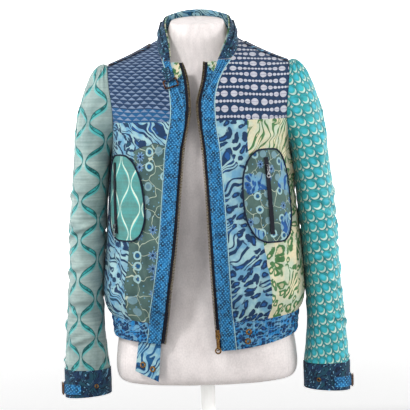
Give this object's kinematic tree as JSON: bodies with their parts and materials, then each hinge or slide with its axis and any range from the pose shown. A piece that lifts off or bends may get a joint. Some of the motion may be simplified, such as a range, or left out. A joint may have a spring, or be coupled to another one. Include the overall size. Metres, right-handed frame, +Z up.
{
  "type": "printed jacket on a dress form",
  "caption": "Short patchwork jacket with a stand collar, gathered sleeves and an elastic waistband, open at the front zip, worn by a limbless dress form on a low round stand.",
  "frame": {"origin": "centre of the stand's underside", "axes": "+Z up, the jacket's front faces -Y, the wearer's left is +X"},
  "size_m": [0.5758, 0.2956, 0.8609],
  "materials": {
    "body_prints": "woven cotton patchwork, printed in blues, mint and grey-green",
    "yoke_prints": "navy cotton with small repeats",
    "sleeve_left_print": "turquoise cotton with a scallop repeat",
    "sleeve_right_print": "pale sea-green cotton with a teal ogee lattice",
    "bands": "bright blue cotton with tiny dots",
    "trim_cloth": "navy cotton with a small print",
    "facing": "cream and green printed cotton",
    "tape": "dark woven zip tape",
    "brass": "antique brass",
    "gunmetal": "dark antique metal",
    "form": "pale grey jersey",
    "stand": "white satin paint"
  },
  "bodies": {
    "jacket": {"front_left_centre": "body_prints", "front_left_side": "body_prints", "front_right_centre": "body_prints", "front_right_side": "body_prints", "back": "body_prints", "yoke_left": "yoke_prints", "yoke_right": "yoke_prints", "yoke_back": "yoke_prints", "sleeve_left": "sleeve_left_print", "sleeve_right": "sleeve_right_print", "cuff_left": "trim_cloth", "cuff_strap_left": "bands", "cuff_right": "trim_cloth", "cuff_strap_right": "bands", "collar": "trim_cloth", "collar_facing": "facing", "throat_strap": "bands", "strap_carrier_right": "trim_cloth", "strap_carrier_back": "trim_cloth", "strap_carrier_left": "trim_cloth", "zip_band_left": "bands", "zip_tape_left": "tape", "facing_left": "facing", "zip_band_right": "bands", "zip_tape_right": "tape", "facing_right": "facing", "waistband_left": "body_prints", "waistband_right": "body_prints", "waistband_back": "body_prints", "waist_tab": "body_prints", "epaulette_left": "trim_cloth", "epaulette_right": "trim_cloth", "pocket_left": "body_prints", "pocket_zip_left": "tape", "pocket_right": "body_prints", "pocket_zip_right": "tape", "main_zip_slider": "brass", "pocket_left_zip_slider": "gunmetal", "pocket_right_zip_slider": "gunmetal", "waist_snap_1": "brass", "waist_snap_2": "brass", "tab_eyelet_1": "brass", "tab_eyelet_2": "brass", "cuff_eyelet_left": "brass", "cuff_eyelet_right": "brass", "buckle_strap": "trim_cloth", "cuff_buckle_left": "gunmetal", "cuff_buckle_right": "gunmetal", "dress_form": "form", "stand_base": "stand", "stand_pole": "stand"},
    "main_zip_pull": {"main_zip_pull": "brass"},
    "pocket_left_pull": {"pocket_left_zip_pull": "gunmetal"},
    "pocket_right_pull": {"pocket_right_zip_pull": "gunmetal"},
    "throat_buckle": {"throat_buckle": "gunmetal"}
  },
  "joints": [
    {"name": "main_zip_pull_swing", "type": "hinge", "parent": "jacket", "child": "main_zip_pull", "pos_m": [0.02181, -0.1326, 0.24], "axis": [-0.9944, -0.1055, 0], "range_deg": [0, 100]},
    {"name": "pocket_left_pull_swing", "type": "hinge", "parent": "jacket", "child": "pocket_left_pull", "pos_m": [0.12672, -0.11885, 0.552], "axis": [-0.8235, -0.5673, 0], "range_deg": [0, 100]},
    {"name": "pocket_right_pull_swing", "type": "hinge", "parent": "jacket", "child": "pocket_right_pull", "pos_m": [-0.17003, -0.08308, 0.446], "axis": [-0.603, 0.7977, 0], "range_deg": [0, 100]},
    {"name": "throat_buckle_swing", "type": "hinge", "parent": "jacket", "child": "throat_buckle", "pos_m": [-0.05511, -0.10689, 0.72067], "axis": [-0.9556, -0.1335, -0.2625], "range_deg": [0, 70]}
  ]
}
